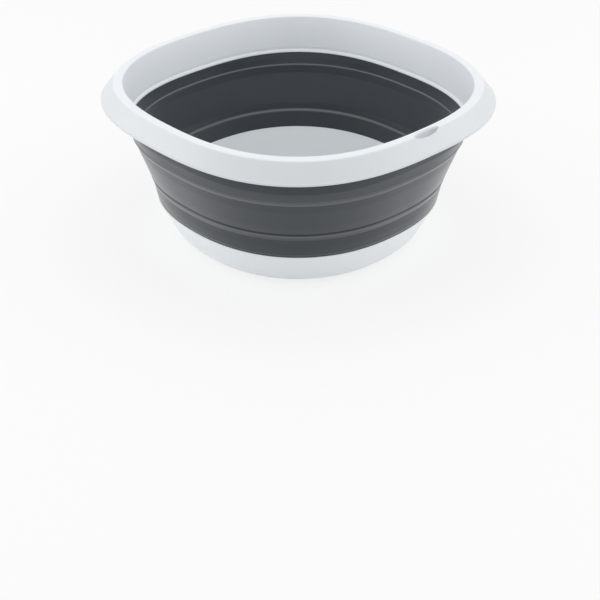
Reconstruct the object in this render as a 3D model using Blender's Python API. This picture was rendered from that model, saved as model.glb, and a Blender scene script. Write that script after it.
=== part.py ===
"""A collapsible wash basin: a pale rigid rim and a pale rigid base joined by a dark soft wall.

The wall has two fold lines. Its upper band stays with the rim and its lower band stays with the base.
Pushing the rim down turns the band between them inside out, so the basin stores almost flat.

Every piece is a ring round the upright axis: its cross-section is spun full circle and then pushed
out to a rounded square. A reach is measured from the axis to the middle of one of the four sides.
"""

import math

import bmesh
import bpy
import numpy as np
from mathutils import Matrix, Vector

# Heights of the stacked parts, from the foot up
BASE_HEIGHT = 0.0435
LOWER_BAND_HEIGHT = 0.0215
FOLD_BAND_HEIGHT = 0.0475
UPPER_BAND_HEIGHT = 0.013
COLLAR_HEIGHT = 0.0405

# Reaches of the inner faces
BASE_EDGE_REACH = 0.1416
FOLD_HIGH_REACH = 0.1594
CROWN_REACH = 0.165

# How far the corners of each level reach from a circle (0) towards a full square (1)
FOOT_CORNER_SHARE = 0.048
BASE_CORNER_SHARE = 0.09
FOLD_CORNER_SHARE = 0.125
RIM_CORNER_SHARE = 0.179
SKIRT_CORNER_SHARE = 0.2

# Clearances
SEAT_GAP = 0.0003
RUNNING_GAP = 0.0005

# Base dish
BASE_WALL = 0.0029
FLOOR_THICKNESS = 0.0035
BASE_ROUND = 0.026
BASE_INSET = 0.0331
FOOT_RING_WIDTH = 0.01
FOOT_RECESS = 0.0012
TONGUE_HEIGHT = 0.003
TONGUE_WALL = 0.001

# Soft wall
BAND_WALL = 0.0024
LOWER_BAND_FLARE = 0.0016
UPPER_BAND_FLARE = 0.0002
BAND_LIP_WALL = 0.002
BAND_LIP_HEIGHT = 0.009
FOLD_BAND_SWELL = 0.002
FOLD_BAND_ROUND = 0.03
NEST_DEPTH = 0.0015
COLLAR_LAP_HEIGHT = 0.012
COLLAR_LAP_WALL = 0.0014

# Rim
RIM_WALL = 0.0024
CROWN_WIDTH = 0.008
CROWN_ROUND = 0.001
CREASE_ROUND = 0.004
SKIRT_WIDTH = 0.012
SKIRT_DROP = 0.0188
SKIRT_BEAD_HEIGHT = 0.0022
SKIRT_BEAD_STEP = 0.0008
LEDGE_HEIGHT = 0.003
LEDGE_STEP = 0.0015
EDGE_ROUND = 0.0005

# Hanging slot through the middle of the front side of the rim
SLOT_LENGTH = 0.034
SLOT_WIDTH = 0.007
SLOT_LAND = 0.0011
SLOT_STEPS = 28

# Mesh resolution
MERGE_DISTANCE = 0.000001
SHARP_DEGREES = 35
RING_STEPS = 64
EDGE_STEPS = 1
CORNER_STEPS = 3
ROUND_STEPS = 6

# Levels and faces that follow from the sizes above
FOLD_LOW = BASE_HEIGHT + LOWER_BAND_HEIGHT
FOLD_HIGH = FOLD_LOW + FOLD_BAND_HEIGHT
COLLAR_FOOT = FOLD_HIGH + UPPER_BAND_HEIGHT
CROWN_TOP = COLLAR_FOOT + COLLAR_HEIGHT
SKIRT_FOOT = CROWN_TOP - SKIRT_DROP
LEDGE_TOP = COLLAR_FOOT + LEDGE_HEIGHT
COLLAR_FACE_FOOT = LEDGE_TOP + LEDGE_STEP
FOOT_REACH = BASE_EDGE_REACH - BASE_INSET
FOLD_LOW_REACH = BASE_EDGE_REACH + LOWER_BAND_FLARE
COLLAR_FOOT_REACH = FOLD_HIGH_REACH + UPPER_BAND_FLARE
COLLAR_FACE_FOOT_REACH = COLLAR_FOOT_REACH + LEDGE_STEP
CREASE_REACH = CROWN_REACH + CROWN_WIDTH
SKIRT_REACH = CREASE_REACH + SKIRT_WIDTH

PALE_PLASTIC = {"name": "pale_plastic", "color": (0.72, 0.76, 0.78, 1.0), "roughness": 0.38}
DARK_RUBBER = {"name": "dark_rubber", "color": (0.05, 0.055, 0.062, 1.0), "roughness": 0.62}


def corner_share_at(reach, height):
    """How square the ring is at a place in the cross-section: squarer upwards and out to the skirt."""
    levels = (0, BASE_HEIGHT, FOLD_LOW, FOLD_HIGH, COLLAR_FOOT)
    shares = (FOOT_CORNER_SHARE, BASE_CORNER_SHARE, BASE_CORNER_SHARE, FOLD_CORNER_SHARE, RIM_CORNER_SHARE)
    collar_back = CROWN_REACH + RIM_WALL
    gain = SKIRT_CORNER_SHARE - RIM_CORNER_SHARE
    return float(np.interp(height, levels, shares) + np.interp(reach, (collar_back, SKIRT_REACH), (0, gain)))


def squared(reach, turn, share):
    """Distance from the axis to the rounded square, a superellipse, at an angle and a corner share."""
    power = 1 / (1 / 2 - math.log2(1 + share * (math.sqrt(2) - 1)))
    return reach * (abs(math.cos(turn)) ** power + abs(math.sin(turn)) ** power) ** (-1 / power)


def collar_back_reach(height):
    """Outer face of the collar wall at a height: it leans out in line with the inner face."""
    lean = (CROWN_REACH - COLLAR_FACE_FOOT_REACH) / (CROWN_TOP - COLLAR_FACE_FOOT)
    return COLLAR_FACE_FOOT_REACH + RIM_WALL + (height - COLLAR_FACE_FOOT) * lean


def outline(corners):
    """Cross-section through corners (reach, height, rounding), each rounded corner as a short arc."""
    points = []
    count = len(corners)
    for index, (reach, height, rounding) in enumerate(corners):
        corner = Vector((reach, height))
        before = Vector(corners[index - 1][:2]) - corner
        after = Vector(corners[(index + 1) % count][:2]) - corner
        if rounding == 0:
            points.append(corner)
            continue
        half_turn = before.angle(after) / 2
        setback = min(rounding / math.tan(half_turn), before.length / 2, after.length / 2)
        start = corner + before.normalized() * setback
        end = corner + after.normalized() * setback
        steps = EDGE_STEPS if rounding <= EDGE_ROUND else CORNER_STEPS
        for step in range(steps + 1):
            share = step / steps
            points.append(start.lerp(corner, share).lerp(corner.lerp(end, share), share))
    return points


def spun_ring(name, points, finish, closed=True):
    """Spins a cross-section full circle, pushes the ring out to a rounded square and makes it an object."""
    shape = bmesh.new()
    verts = [shape.verts.new((point.x, 0, point.y)) for point in points]
    pairs = list(zip(verts, verts[1:]))
    if closed:
        pairs.append((verts[-1], verts[0]))
    edges = [shape.edges.new(pair) for pair in pairs]
    bmesh.ops.spin(
        shape,
        geom=verts + edges,
        cent=(0, 0, 0),
        axis=(0, 0, 1),
        angle=math.tau,
        steps=RING_STEPS,
        use_merge=True,
    )
    bmesh.ops.remove_doubles(shape, verts=shape.verts, dist=MERGE_DISTANCE)
    for vert in shape.verts:
        reach = math.hypot(vert.co.x, vert.co.y)
        turn = math.atan2(vert.co.y, vert.co.x)
        distance = squared(reach, turn, corner_share_at(reach, vert.co.z))
        vert.co.x = distance * math.cos(turn)
        vert.co.y = distance * math.sin(turn)
    bmesh.ops.recalc_face_normals(shape, faces=shape.faces)
    mesh = bpy.data.meshes.new(name)
    shape.to_mesh(mesh)
    shape.free()
    mesh.shade_smooth()
    mesh.set_sharp_from_angle(angle=math.radians(SHARP_DEGREES))
    ring = bpy.data.objects.new(name, mesh)
    bpy.context.collection.objects.link(ring)
    mesh.materials.append(plain_material(name, finish))
    return ring


def plain_material(name, finish):
    """A material of the object's own with the finish's colour and roughness."""
    material = bpy.data.materials.new(name + "_" + finish["name"])
    material.use_nodes = True
    shader = material.node_tree.nodes["Principled BSDF"]
    shader.inputs["Base Color"].default_value = finish["color"]
    shader.inputs["Roughness"].default_value = finish["roughness"]
    shader.inputs["Metallic"].default_value = 0
    return material


def base_dish():
    """Rigid base: flat floor, rounded flank, a foot ring below and a tongue on its top edge."""
    centre = Vector((FOOT_REACH, BASE_ROUND))
    edge_outer = Vector((BASE_EDGE_REACH + BASE_WALL, BASE_HEIGHT))
    # The flank leaves the arc where a line from the top edge touches it
    to_edge = edge_outer - centre
    flank_turn = math.asin(BASE_ROUND / to_edge.length) + math.atan2(to_edge.y, to_edge.x)
    inner_round = BASE_ROUND - BASE_WALL
    crease_turn = math.acos((BASE_ROUND - FLOOR_THICKNESS) / inner_round)

    def on_arc(radius, turn):
        return centre + radius * Vector((math.sin(turn), -math.cos(turn)))

    outer = [on_arc(BASE_ROUND, flank_turn * step / ROUND_STEPS) for step in range(ROUND_STEPS + 1)]
    sweep = flank_turn - crease_turn
    inner = [on_arc(inner_round, flank_turn - sweep * step / ROUND_STEPS) for step in range(ROUND_STEPS + 1)]
    recess_reach = FOOT_REACH - FOOT_RING_WIDTH
    tongue_inner = BASE_EDGE_REACH + (BASE_WALL - TONGUE_WALL) / 2
    tongue_outer = tongue_inner + TONGUE_WALL
    tongue_top = BASE_HEIGHT + TONGUE_HEIGHT
    points = [
        Vector((0, FOOT_RECESS)),
        Vector((recess_reach - FOOT_RECESS, FOOT_RECESS)),
        Vector((recess_reach, 0)),
        *outer,
        edge_outer,
        Vector((tongue_outer, BASE_HEIGHT)),
        Vector((tongue_outer, tongue_top)),
        Vector((tongue_inner, tongue_top)),
        Vector((tongue_inner, BASE_HEIGHT)),
        Vector((BASE_EDGE_REACH, BASE_HEIGHT)),
        *inner,
        Vector((0, FLOOR_THICKNESS)),
    ]
    return spun_ring("base_dish", points, PALE_PLASTIC, closed=False)


def lower_band():
    """Soft band moulded onto the base: it swells to an upright lip and grooves over the base's tongue."""
    foot = BASE_HEIGHT + SEAT_GAP
    groove_top = BASE_HEIGHT + TONGUE_HEIGHT + SEAT_GAP
    groove_inner = BASE_EDGE_REACH + (BASE_WALL - TONGUE_WALL) / 2 - SEAT_GAP
    groove_outer = groove_inner + TONGUE_WALL + 2 * SEAT_GAP
    corners = [
        (FOLD_LOW_REACH, FOLD_LOW, EDGE_ROUND),
        (lower_band_outer_reach(), FOLD_LOW, EDGE_ROUND),
        (lower_band_outer_reach(), FOLD_LOW - BAND_LIP_HEIGHT, BAND_LIP_HEIGHT),
        (BASE_EDGE_REACH + BASE_WALL, foot, 0),
        (groove_outer, foot, 0),
        (groove_outer, groove_top, 0),
        (groove_inner, groove_top, 0),
        (groove_inner, foot, 0),
        (BASE_EDGE_REACH, foot, 0),
    ]
    return spun_ring("lower_band", outline(corners), DARK_RUBBER)


def lower_band_outer_reach():
    """Widest place of the band that stays with the base, which the folding band has to pass."""
    return max(BASE_EDGE_REACH + BASE_WALL, FOLD_LOW_REACH + BAND_LIP_WALL)


def fold_band():
    """Band between the fold lines: it bulges, and nests between the band below it and the band above it."""
    foot = FOLD_LOW - NEST_DEPTH
    head = FOLD_HIGH + NEST_DEPTH
    foot_inner = lower_band_outer_reach() + RUNNING_GAP
    head_outer = FOLD_HIGH_REACH - RUNNING_GAP
    middle = (foot + head) / 2
    middle_inner = min((foot_inner + head_outer - BAND_WALL) / 2 + FOLD_BAND_SWELL, head_outer - BAND_WALL)
    corners = [
        (head_outer - BAND_WALL, head, EDGE_ROUND),
        (head_outer, head, EDGE_ROUND),
        (middle_inner + BAND_WALL, middle, FOLD_BAND_ROUND),
        (foot_inner + BAND_WALL, foot, EDGE_ROUND),
        (foot_inner, foot, EDGE_ROUND),
        (middle_inner, middle, FOLD_BAND_ROUND),
    ]
    return spun_ring("fold_band", outline(corners), DARK_RUBBER)


def upper_band():
    """Soft band moulded onto the rim: it meets the collar's foot and laps up the collar's back."""
    seat = COLLAR_FOOT - SEAT_GAP
    lap_top = COLLAR_FOOT + COLLAR_LAP_HEIGHT
    back_foot = collar_back_reach(COLLAR_FOOT) + SEAT_GAP
    back_top = collar_back_reach(lap_top) + SEAT_GAP
    corners = [
        (COLLAR_FOOT_REACH, seat, 0),
        (back_foot, seat, 0),
        (back_top, lap_top, 0),
        (back_top + COLLAR_LAP_WALL, lap_top, EDGE_ROUND),
        (back_foot + COLLAR_LAP_WALL, seat, BAND_WALL),
        (FOLD_HIGH_REACH + BAND_WALL, FOLD_HIGH, EDGE_ROUND),
        (FOLD_HIGH_REACH, FOLD_HIGH, EDGE_ROUND),
    ]
    return spun_ring("upper_band", outline(corners), DARK_RUBBER)


def rim_collar():
    """Rigid rim: a collar wall with a ledge at its foot, a flat crown and a skirt sloping out and down."""
    bead_top = SKIRT_FOOT + SKIRT_BEAD_HEIGHT
    slope_reach = SKIRT_REACH - SKIRT_BEAD_STEP
    slope = math.atan2(CROWN_TOP - bead_top, slope_reach - CREASE_REACH)
    slope_shift = RIM_WALL / math.sin(slope)
    under_crown = CROWN_TOP - RIM_WALL
    bend_reach = CREASE_REACH + RIM_WALL / math.tan(slope) - slope_shift
    skirt_inner = SKIRT_REACH - RIM_WALL
    bend_height = CROWN_TOP - (skirt_inner + slope_shift - CREASE_REACH) * math.tan(slope)
    corners = [
        (CROWN_REACH, CROWN_TOP, CROWN_ROUND),
        (CREASE_REACH, CROWN_TOP, CREASE_ROUND),
        (slope_reach, bead_top, 0),
        (SKIRT_REACH, bead_top, EDGE_ROUND),
        (SKIRT_REACH, SKIRT_FOOT, EDGE_ROUND),
        (skirt_inner, SKIRT_FOOT, 0),
        (skirt_inner, max(bend_height, SKIRT_FOOT + EDGE_ROUND), 0),
        (bend_reach, under_crown, CROWN_ROUND),
        (collar_back_reach(under_crown), under_crown, CROWN_ROUND),
        (collar_back_reach(COLLAR_FOOT), COLLAR_FOOT, 0),
        (COLLAR_FOOT_REACH, COLLAR_FOOT, 0),
        (COLLAR_FOOT_REACH, LEDGE_TOP, EDGE_ROUND),
        (COLLAR_FACE_FOOT_REACH, COLLAR_FACE_FOOT, EDGE_ROUND),
    ]
    rim = spun_ring("rim_collar", outline(corners), PALE_PLASTIC)
    cut = rim.modifiers.new("hanging_slot", "BOOLEAN")
    cut.operation = "DIFFERENCE"
    cut.solver = "EXACT"
    cut.object = slot_cutter()
    return rim


def slot_cutter():
    """Upright oval that cuts the hanging slot just outside the collar's back, on the front side."""
    centre_reach = CROWN_REACH + RIM_WALL + SLOT_LAND + SLOT_WIDTH / 2
    overrun = SKIRT_DROP
    shape = bmesh.new()
    circle = bmesh.ops.create_circle(shape, cap_ends=True, segments=SLOT_STEPS, radius=1)
    bmesh.ops.scale(shape, verts=circle["verts"], vec=(SLOT_LENGTH / 2, SLOT_WIDTH / 2, 1))
    bmesh.ops.translate(shape, verts=circle["verts"], vec=(0, -centre_reach, SKIRT_FOOT - overrun))
    lifted = bmesh.ops.extrude_face_region(shape, geom=list(shape.faces))
    top = [item for item in lifted["geom"] if isinstance(item, bmesh.types.BMVert)]
    bmesh.ops.translate(shape, verts=top, vec=(0, 0, SKIRT_DROP + 2 * overrun))
    bmesh.ops.recalc_face_normals(shape, faces=shape.faces)
    mesh = bpy.data.meshes.new("slot_cutter")
    shape.to_mesh(mesh)
    shape.free()
    cutter = bpy.data.objects.new("slot_cutter", mesh)
    bpy.context.collection.objects.link(cutter)
    cutter.hide_render = True
    cutter.display_type = "WIRE"
    return cutter


def carry(name, height, pieces):
    """An empty on the upright sliding axis that carries the pieces of one moving body."""
    carrier = bpy.data.objects.new(name, None)
    bpy.context.collection.objects.link(carrier)
    carrier.location.z = height
    for piece in pieces:
        piece.data.transform(Matrix.Translation((0, 0, -height)))
        piece.parent = carrier


def main():
    for item in list(bpy.data.objects):
        bpy.data.objects.remove(item)
    carry("base_carrier", 0, [base_dish(), lower_band()])
    carry("fold_carrier", FOLD_LOW, [fold_band()])
    carry("rim_carrier", COLLAR_FOOT, [upper_band(), rim_collar()])


main()
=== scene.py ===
import math

import bmesh
import bpy
import numpy as np
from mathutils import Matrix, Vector


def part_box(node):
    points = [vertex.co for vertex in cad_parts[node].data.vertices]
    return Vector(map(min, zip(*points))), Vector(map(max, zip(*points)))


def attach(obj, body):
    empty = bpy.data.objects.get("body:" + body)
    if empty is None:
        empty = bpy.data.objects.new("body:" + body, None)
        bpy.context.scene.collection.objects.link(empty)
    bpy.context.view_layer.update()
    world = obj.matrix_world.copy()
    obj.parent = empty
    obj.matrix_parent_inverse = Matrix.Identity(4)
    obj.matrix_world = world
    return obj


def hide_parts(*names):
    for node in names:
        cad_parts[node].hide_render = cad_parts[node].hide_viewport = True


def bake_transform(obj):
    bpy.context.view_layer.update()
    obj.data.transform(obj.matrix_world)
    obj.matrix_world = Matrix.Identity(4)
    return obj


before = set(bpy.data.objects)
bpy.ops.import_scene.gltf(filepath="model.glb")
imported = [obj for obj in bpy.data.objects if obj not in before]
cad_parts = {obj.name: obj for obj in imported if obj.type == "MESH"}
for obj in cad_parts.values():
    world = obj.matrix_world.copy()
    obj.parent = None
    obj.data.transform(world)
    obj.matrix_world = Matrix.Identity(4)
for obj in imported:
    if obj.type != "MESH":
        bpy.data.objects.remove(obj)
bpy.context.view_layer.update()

# The base is a rigid dish of pale polypropylene, injection moulded in one shot through a gate in the
# middle of its floor. It stands on a low foot ring, and a tongue on its top edge holds the soft wall.

MM = 0.001
SEAT_GAP = 0.3 * MM
COLLAR_SETBACK = 17.6 * MM
CORNER_SHARES = {"foot": 0.048, "base": 0.09, "fold": 0.125, "rim": 0.179, "skirt": 0.2}

# Places in the basin's upright cross-section, as reach from the middle and height above the ground.
base_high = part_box("base_dish")[1]
lower_low, lower_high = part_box("lower_band")
upper_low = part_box("upper_band")[0]
fold_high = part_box("fold_band")[1]
rim_low, rim_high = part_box("rim_collar")
base_edge = Vector((base_high.x, lower_low.z - SEAT_GAP))
fold_line_low = Vector((lower_high.x, lower_high.z))
fold_line_high = Vector((fold_high.x, upper_low.z))
collar_foot = Vector((fold_high.x, rim_low.z))
rim_edge = Vector((rim_high.x, rim_high.z))
collar_back = rim_edge.x - COLLAR_SETBACK


def corner_share_at(reach, height):
    """How far the ring's corners reach from a circle towards a square at a place in the cross-section."""
    levels = (0, base_edge.y, fold_line_low.y, fold_line_high.y, collar_foot.y)
    shares = [CORNER_SHARES[level] for level in ("foot", "base", "base", "fold", "rim")]
    gain = CORNER_SHARES["skirt"] - CORNER_SHARES["rim"]
    return float(np.interp(height, levels, shares) + np.interp(reach, (collar_back, rim_edge.x), (0, gain)))


def near(place, *corners):
    """Corners (across, up, rounding) in millimetres from a place in the cross-section, in metres."""
    return [(place.x + across * MM, place.y + up * MM, rounding * MM) for across, up, rounding in corners]


# A rounding takes at most a little under half of the side before or after it, so that two never meet.
SIDE_SHARE = 1 / 2.05
ROUNDING_STEPS = 4


def rounded(corners):
    """Points of a cross-section with corners (reach, height, rounding), each rounded by a short curve."""
    points = []
    for index, (reach, height, rounding) in enumerate(corners):
        corner = Vector((reach, height))
        if rounding == 0:
            points.append(corner)
            continue
        before = Vector(corners[index - 1][:2]) - corner
        after = Vector(corners[(index + 1) % len(corners)][:2]) - corner
        room = SIDE_SHARE * min(before.length, after.length)
        setback = min(rounding / math.tan(before.angle(after) / 2), room)
        start = corner + before.normalized() * setback
        end = corner + after.normalized() * setback
        for step in range(ROUNDING_STEPS + 1):
            share = step / ROUNDING_STEPS
            points.append(start.lerp(corner, share).lerp(corner.lerp(end, share), share))
    return points


RING_STEPS = 256
MERGE_DISTANCE = 0.001 * MM
SHARP_ANGLE = math.radians(40)


def moulded_ring(name, points, closed=True):
    """Spins a cross-section full circle, notes its places on the faces and pushes it to a rounded square."""
    shape = bmesh.new()
    verts = [shape.verts.new((point.x, 0, point.y)) for point in points]
    pairs = list(zip(verts, verts[1:]))
    if closed:
        pairs.append((verts[-1], verts[0]))
    edges = [shape.edges.new(pair) for pair in pairs]
    bmesh.ops.spin(
        shape,
        geom=verts + edges,
        cent=(0, 0, 0),
        axis=(0, 0, 1),
        angle=math.tau,
        steps=RING_STEPS,
        use_merge=True,
    )
    bmesh.ops.remove_doubles(shape, verts=shape.verts, dist=MERGE_DISTANCE)
    noted = shape.loops.layers.float_vector.new("section")
    for vert in shape.verts:
        turn = math.atan2(vert.co.y, vert.co.x)
        reach = math.hypot(vert.co.x, vert.co.y)
        for loop in vert.link_loops:
            loop[noted] = (reach, 0, vert.co.z)
        share = corner_share_at(reach, vert.co.z)
        # The power of the superellipse whose corner reaches this share of the way to a square's corner.
        power = 1 / (1 / 2 - math.log2(1 + share * (math.sqrt(2) - 1)))
        spread = (abs(math.cos(turn)) ** power + abs(math.sin(turn)) ** power) ** (-1 / power)
        vert.co.x *= spread
        vert.co.y *= spread
    bmesh.ops.recalc_face_normals(shape, faces=shape.faces)
    mesh = bpy.data.meshes.new(name)
    shape.to_mesh(mesh)
    shape.free()
    mesh.shade_smooth()
    mesh.set_sharp_from_angle(angle=SHARP_ANGLE)
    ring = bpy.data.objects.new(name, mesh)
    bpy.context.scene.collection.objects.link(ring)
    return ring


BASE_WALL = 2.9 * MM
BASE_ROUND = 26 * MM
FOOT_SETBACK = 36 * MM
FLOOR_TOP = 3.5 * MM
FOOT_RECESS = 1.2 * MM
CREASE_MARGIN = math.radians(3)
FLANK_STEPS = 14
round_centre = Vector((base_edge.x - FOOT_SETBACK, BASE_ROUND))
to_edge = base_edge - round_centre
# Outside, the round turns until it points at the base's edge. Inside, it ends just above the floor's crease.
flank_turn = math.asin(BASE_ROUND / to_edge.length) + math.atan2(to_edge.y, to_edge.x)
crease_turn = math.acos((BASE_ROUND - FLOOR_TOP) / (BASE_ROUND - BASE_WALL)) + CREASE_MARGIN


def flank_arc(radius, first, last):
    """Round part of the dish's flank, from one angle to another off straight down."""
    turns = [first + (last - first) * step / FLANK_STEPS for step in range(FLANK_STEPS + 1)]
    return [round_centre + radius * Vector((math.sin(turn), -math.cos(turn))) for turn in turns]


foot = Vector((round_centre.x, 0))
recess_edge = Vector((round_centre.x, FOOT_RECESS))
floor_edge = Vector((round_centre.x, FLOOR_TOP))
middle_of_floor = Vector((0, FLOOR_TOP))
# A corner that is cut off the start or end of a run only aims the rounding of the corner beside it.
base_moulding = moulded_ring(
    "base_moulding",
    [
        Vector((0, FOOT_RECESS)),
        *rounded(
            near(recess_edge, (-20, 0, 0), (-11.2, 0, 0.8))
            + near(foot, (-10, 0, 0.6), (0, 0, 0))
        )[1:-1],
        *flank_arc(BASE_ROUND, 0, flank_turn),
        *rounded(
            near(
                base_edge,
                (-3, -10, 0),
                (0, 0, 0.9),
                (-1, 0, 0),
                (-1, 3, 0.2),
                (-1.9, 3, 0.2),
                (-1.9, 0, 0),
                (-2.9, 0, 0.35),
                (-6, -10, 0),
            )
        )[1:-1],
        *flank_arc(BASE_ROUND - BASE_WALL, flank_turn, crease_turn),
        *rounded(
            near(
                floor_edge,
                (6, 0.1, 0),
                (4.4, -0.8, 0.5),
                (3.4, -0.8, 0.5),
                (2.2, 0, 0.6),
                (-10, 0, 0),
            )
        )[1:],
        *rounded(near(middle_of_floor, (20, 0, 0), (2.4, 0, 0.2), (2, 0.35, 0.3), (0, 0.35, 0))),
    ],
    closed=False,
)
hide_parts("base_dish")
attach(base_moulding, "base")


class Value:
    """A shader's output socket: arithmetic on it adds Math nodes to its node tree."""

    def __init__(self, finish, socket):
        self.finish = finish
        self.socket = socket

    def math(self, operation, first, second):
        return self.finish.node("ShaderNodeMath", {"operation": operation}, {0: first, 1: second})

    def __add__(self, other):
        return self.math("ADD", self, other)

    def __radd__(self, other):
        return self.math("ADD", other, self)

    def __mul__(self, other):
        return self.math("MULTIPLY", self, other)

    def __rmul__(self, other):
        return self.math("MULTIPLY", other, self)


class Finish:
    """The node tree of a material or of the world, under construction. A colour is three numbers."""

    def __init__(self, owner):
        owner.use_nodes = True
        self.owner = owner
        self.tree = owner.node_tree

    def node(self, kind, settings, inputs, output=0):
        made = self.tree.nodes.new(kind)
        for key, setting in settings.items():
            setattr(made, key, setting)
        for key, given in inputs.items():
            self.feed(made.inputs[key], given)
        return Value(self, made.outputs[output])

    def feed(self, socket, given):
        if isinstance(given, Value):
            self.tree.links.new(given.socket, socket)
        elif socket.type == "RGBA":
            socket.default_value = (*given, 1)
        else:
            socket.default_value = given

    def surface(self, **inputs):
        shader = self.tree.nodes["Principled BSDF"]
        for key, given in inputs.items():
            words = {"ior": "IOR"}.get(key, key.replace("_", " ").title())
            self.feed(shader.inputs[words], given)

    def noise(self, place, size, detail):
        return self.node("ShaderNodeTexNoise", {}, {"Vector": place, "Scale": 1 / size, "Detail": detail})

    def blend(self, share, first, second, way="MIX"):
        settings = {"data_type": "RGBA", "blend_type": way}
        mixed = {"Factor": share, "A": first, "B": second}
        return self.node("ShaderNodeMix", settings, mixed, output="Result")

    def section(self):
        """Place in the ring's cross-section, noted before the ring was pushed to a rounded square."""
        return self.node("ShaderNodeAttribute", {"attribute_name": "section"}, {}, output="Vector")

    def ramp(self, value, start, end):
        """Rises smoothly from nought where the value is at the start to one where it is at the end."""
        smooth = {"interpolation_type": "SMOOTHSTEP"}
        return self.node("ShaderNodeMapRange", smooth, {"Value": value, "From Min": start, "From Max": end})

    def seen_by(self, *rays):
        """One where the tree is looked up by any of the named kinds of ray."""
        path = self.tree.nodes.new("ShaderNodeLightPath")
        total = Value(self, path.outputs[rays[0]])
        for ray in rays[1:]:
            total = total + Value(self, path.outputs[ray])
        return total


def pale_polypropylene(name, colour, shade, skirt_painted_shade=None, painted_shade_from=None, painted_shade_to=None):
    """Satin polypropylene: faint flow clouds, a fine spark-eroded texture, and optional painted shade that
    greys it beyond a given reach.
    """
    finish = Finish(bpy.data.materials.new(name))
    place = finish.node("ShaderNodeTexCoord", {}, {}, output="Object")
    clouds = finish.noise(place, size=60 * MM, detail=3)
    grain = finish.noise(place, size=0.9 * MM, detail=2)
    fine = finish.noise(place, size=0.35 * MM, detail=2)
    relief = grain * 0.6 + fine * 0.4
    bump = finish.node("ShaderNodeBump", {}, {"Strength": 0.12, "Distance": 0.05 * MM, "Height": relief})
    tint = finish.blend(clouds * 0.7 + grain * 0.3, shade, colour)
    # Painted shade: past the given reach the colour is multiplied by a greyer tint.
    if skirt_painted_shade:
        reach = finish.node("ShaderNodeSeparateXYZ", {}, {"Vector": finish.section()}, output="X")
        tint = finish.blend(finish.ramp(reach, painted_shade_from, painted_shade_to), tint, skirt_painted_shade, way="MULTIPLY")
    finish.surface(
        base_color=tint,
        roughness=0.3 + clouds * 0.08 + fine * 0.08,
        normal=bump,
        ior=1.49,
    )
    return finish.owner


base_moulding.data.materials.append(
    pale_polypropylene("base_polypropylene", colour=(0.9, 0.94, 0.955), shade=(0.86, 0.9, 0.92))
)

# The rim is a second rigid polypropylene moulding: a collar wall, a flat crown, and a sloping skirt that
# fingers lift it by. A groove above the collar's foot sets off the bead that covers the soft wall's edge.

rim_moulding = moulded_ring(
    "rim_moulding",
    rounded(
        near(
            rim_edge,
            (-20, 0, 1.2),
            (-12, 0, 3),
            (-0.9, -16.3, 0.7),
            (0, -16.8, 0.6),
            (0, -18.8, 0.6),
            (-2.2, -18.8, 0.4),
            (-2.5, -17.8, 0.8),
            (-13.3, -2.4, 1.5),
            (-17.7, -2.4, 1.5),
        )
        + near(
            collar_foot,
            (4.1, 0, 0.3),
            (0.9, 0, 0.3),
            (0.6, 1, 0.6),
            (1.1, 2.3, 0.7),
            (3.0, 3.2, 0.5),
            (3.1, 5.0, 0.6),
            (2.2, 6.2, 0.7),
        )
    ),
)
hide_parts("rim_collar")
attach(rim_moulding, "rim")
rim_moulding.data.materials.append(
    pale_polypropylene(
        "rim_polypropylene",
        colour=(0.88, 0.91, 0.945),
        shade=(0.84, 0.87, 0.905),
        # Painted shade: the skirt, from the crown's crease outward, is tinted greyer than the collar.
        skirt_painted_shade=(0.81, 0.82, 0.805),
        painted_shade_from=collar_back + 5 * MM,
        painted_shade_to=collar_back + 7 * MM,
    )
)

# The hanging slot is an oval hole down through the rim, just outside the collar, for a wall hook. A pin in
# the mould keeps the plastic out of it, so here the same pin is cut out of the rim.

SLOT_LENGTH = 34 * MM
SLOT_WIDTH = 7 * MM
SLOT_INSET = 1.1 * MM
slot_centre = collar_back + SLOT_INSET + SLOT_WIDTH / 2
pin_height = 2 * (rim_edge.y - collar_foot.y)
pin = bmesh.new()
oval = bmesh.ops.create_circle(pin, cap_ends=True, segments=64, radius=1)
bmesh.ops.scale(pin, verts=oval["verts"], vec=(SLOT_LENGTH / 2, SLOT_WIDTH / 2, 1))
bmesh.ops.translate(pin, verts=oval["verts"], vec=(0, -slot_centre, collar_foot.y))
lifted = bmesh.ops.extrude_face_region(pin, geom=list(pin.faces))
top = [item for item in lifted["geom"] if isinstance(item, bmesh.types.BMVert)]
bmesh.ops.translate(pin, verts=top, vec=(0, 0, pin_height))
bmesh.ops.recalc_face_normals(pin, faces=pin.faces)
pin_mesh = bpy.data.meshes.new("slot_pin")
pin.to_mesh(pin_mesh)
pin.free()
slot_pin = bpy.data.objects.new("slot_pin", pin_mesh)
bpy.context.scene.collection.objects.link(slot_pin)
cut = rim_moulding.modifiers.new("hanging_slot", "BOOLEAN")
cut.operation = "DIFFERENCE"
cut.solver = "EXACT"
cut.object = slot_pin
with bpy.context.temp_override(object=rim_moulding, active_object=rim_moulding):
    bpy.ops.object.modifier_apply(modifier=cut.name)
bpy.data.objects.remove(slot_pin)
rim_moulding.data.set_sharp_from_angle(angle=SHARP_ANGLE)

# The soft wall is one moulding of dark thermoplastic rubber, shot over the rim's collar and the base's
# tongue. When the rim is pushed down it turns over at two fold lines, each with a ridge outside and a ledge
# inside. The lower line also has a narrow groove, under the edge of the band that turns over.

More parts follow.
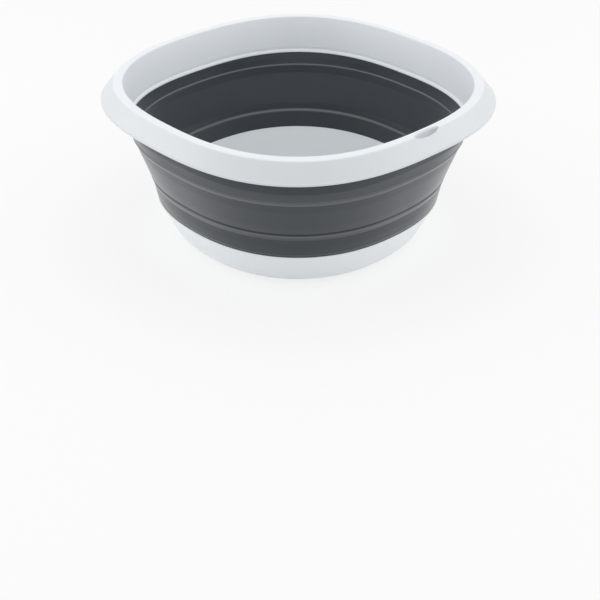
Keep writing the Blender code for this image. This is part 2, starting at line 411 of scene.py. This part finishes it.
soft_wall = moulded_ring(
    "soft_wall",
    rounded(
        near(
            base_edge,
            (-1.2, 0.25, 0.5),
            (0.3, 3.3, 2),
            (1.9, 12, 12),
        )
        + near(
            fold_line_low,
            (2.4, -0.3, 2),
            (4.5, 4.4, 0.8),
            (2.9, 6.9, 0.2),
            (2.9, 8.2, 0.2),
            (5.4, 8.7, 0.2),
            (8.9, 21, 15),
            (13.8, 37, 12),
        )
        + near(
            fold_line_high,
            (2.3, -2.0, 1.6),
            (4.4, 2.2, 0.4),
            (3.7, 3.2, 0.4),
        )
        + near(
            collar_foot,
            (6.5, 1.5, 3),
            (7.4, 11.7, 0.6),
            (6.1, 12, 0.2),
            (4.3, -0.05, 0.2),
            (2.1, -0.05, 0.3),
            (1.5, -1.6, 0.8),
            (1.2, -6, 3),
        )
        + near(
            fold_line_high,
            (1.2, 2.8, 0.6),
            (1.1, 1.0, 0.4),
            (-0.4, -1.2, 0.5),
            (-1.3, -9, 6),
        )
        + near(
            fold_line_low,
            (6.4, 21, 15),
            (1.2, 6.7, 2),
            (1.2, 4.4, 1),
            (1.6, 0.5, 0.3),
            (1.5, -0.2, 0.3),
            (-2.1, -3.3, 0.6),
            (-2.2, -6.9, 2),
        )
        + near(
            base_edge,
            (-2.7, 1.4, 1),
            (-2.9, 0.1, 0.3),
            (-2.1, 0.1, 0),
            (-2.1, 3.2, 0),
            (-0.8, 3.2, 0),
            (-0.8, 0.1, 0),
        )
    ),
)
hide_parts("upper_band", "fold_band", "lower_band")
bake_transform(soft_wall)

# The crests of the ledges and ridges, paled by a painted highlight. The third number is how far from a crest
# the painted highlight reaches.
crests = [
    *near(fold_line_low, (-0.3, -1.7, 2.2), (4.3, 4.7, 1.6)),
    *near(fold_line_high, (0.4, -0.1, 1), (3.9, 2.8, 1)),
]


def dark_thermoplastic_rubber(name, colour, shade, painted_highlight):
    """Matte rubber: bloom in broad clouds, a fine eroded grain, and a painted highlight that pales the
    crests.
    """
    finish = Finish(bpy.data.materials.new(name))
    place = finish.node("ShaderNodeTexCoord", {}, {}, output="Object")
    bloom = finish.noise(place, size=45 * MM, detail=3)
    grain = finish.noise(place, size=0.8 * MM, detail=2)
    fine = finish.noise(place, size=0.3 * MM, detail=2)
    relief = grain * 0.5 + fine * 0.5
    bump = finish.node("ShaderNodeBump", {}, {"Strength": 0.2, "Distance": 0.06 * MM, "Height": relief})
    tint = finish.blend(bloom * 0.65 + grain * 0.35, shade, colour)
    section = finish.section()
    # Painted highlight: the colour pales towards each crest, where the ledges and ridges catch the light.
    for reach, height, spread in crests:
        ends = {0: section, 1: (reach, 0, height)}
        distance = finish.node("ShaderNodeVectorMath", {"operation": "DISTANCE"}, ends, output="Value")
        tint = finish.blend(finish.ramp(distance, spread, 0), tint, painted_highlight)
    finish.surface(
        base_color=tint,
        roughness=0.22 + bloom * 0.1 + fine * 0.08,
        normal=bump,
        ior=1.3,
        sheen_weight=0.6,
        sheen_roughness=0.4,
    )
    return finish.owner


soft_wall.data.materials.append(
    dark_thermoplastic_rubber(
        "wall_rubber",
        colour=(0.056, 0.065, 0.075),
        shade=(0.045, 0.052, 0.061),
        # Painted highlight on the crests of the ledges and ridges.
        painted_highlight=(0.16, 0.17, 0.18),
    )
)

# The floor is a plain sheet of pale paper, which takes the basin's shadow. Part of it glows white to the
# camera and in reflections, so that the background is as light as in the photograph.

FLOOR_REACH = 4
PAPER_GLOW_SHARE = 0.75
floor_shape = bmesh.new()
bmesh.ops.create_grid(floor_shape, x_segments=1, y_segments=1, size=FLOOR_REACH)
floor_mesh = bpy.data.meshes.new("floor")
floor_shape.to_mesh(floor_mesh)
floor_shape.free()
floor = bpy.data.objects.new("floor", floor_mesh)
bpy.context.scene.collection.objects.link(floor)
paper = Finish(bpy.data.materials.new("floor_paper"))
paper.surface(base_color=(0.9, 0.9, 0.9), roughness=0.9)
matt = Value(paper, paper.tree.nodes["Principled BSDF"].outputs[0])
glow = paper.node("ShaderNodeEmission", {}, {"Color": (1, 1, 1), "Strength": 1})
glow_share = paper.seen_by("Is Camera Ray", "Is Glossy Ray") * PAPER_GLOW_SHARE
sheet = paper.node("ShaderNodeMixShader", {}, {0: glow_share, 1: matt, 2: glow})
paper.feed(paper.tree.nodes["Material Output"].inputs["Surface"], sheet)
floor.data.materials.append(paper.owner)

# The light is a soft studio: an even pale room that mirrors white, a broad box overhead, and a box at each
# side of the view, the left one a little stronger.

ROOM_LEVEL = 0.72
OVERHEAD_HEIGHT = 1.6
SIDE_DISTANCE = 1.5
SIDE_HEIGHT = 0.5
VIEW_YAW = math.radians(43.5)
across = Vector((math.cos(VIEW_YAW), -math.sin(VIEW_YAW), 0))
up = Vector((0, 0, 1))
middle = up * rim_edge.y / 2
room = bpy.data.worlds.new("studio")
bpy.context.scene.world = room
air = Finish(room)
mirrored = air.seen_by("Is Camera Ray", "Is Glossy Ray", "Is Transmission Ray")
background = air.tree.nodes["Background"]
air.feed(background.inputs["Color"], (1, 1, 1))
air.feed(background.inputs["Strength"], mirrored * (1 - ROOM_LEVEL) + ROOM_LEVEL)


def softbox(name, place, width, height, power):
    """A rectangular area lamp that faces the middle of the basin."""
    lamp = bpy.data.lights.new(name, "AREA")
    lamp.shape = "RECTANGLE"
    lamp.size = width
    lamp.size_y = height
    lamp.energy = power
    holder = bpy.data.objects.new(name, lamp)
    bpy.context.scene.collection.objects.link(holder)
    holder.location = place
    holder.rotation_euler = (middle - place).to_track_quat("-Z", "Y").to_euler()


softbox("overhead_box", up * OVERHEAD_HEIGHT, width=1.6, height=1.6, power=5)
softbox("left_box", across * -SIDE_DISTANCE + up * SIDE_HEIGHT, width=1.2, height=1.0, power=6)
softbox("right_box", across * SIDE_DISTANCE + up * SIDE_HEIGHT, width=1.2, height=1.0, power=5.2)

# The camera looks down on a corner of the basin, with the hanging slot at the front right. It aims below the
# basin, which stands in the upper half of the picture.

VIEW_TILT = math.radians(33.61)
VIEW_ROLL = math.radians(0.32)
VIEW_DISTANCE = 1.32
VIEW_LENS = 69.4
AIM_ACROSS = 3 * MM
AIM_UP = -104.3 * MM
away = Vector((math.sin(VIEW_YAW), math.cos(VIEW_YAW), 0))
forward = away * math.cos(VIEW_TILT) - up * math.sin(VIEW_TILT)
target = across * AIM_ACROSS + up * AIM_UP
lens = bpy.data.cameras.new("view")
lens.lens = VIEW_LENS
camera = bpy.data.objects.new("view", lens)
bpy.context.scene.collection.objects.link(camera)
camera.location = target - forward * VIEW_DISTANCE
camera.rotation_euler = forward.to_track_quat("-Z", "Y").to_euler()
camera.rotation_euler.rotate_axis("Z", VIEW_ROLL)
bpy.context.scene.camera = camera
bpy.context.scene.view_settings.view_transform = "Standard"
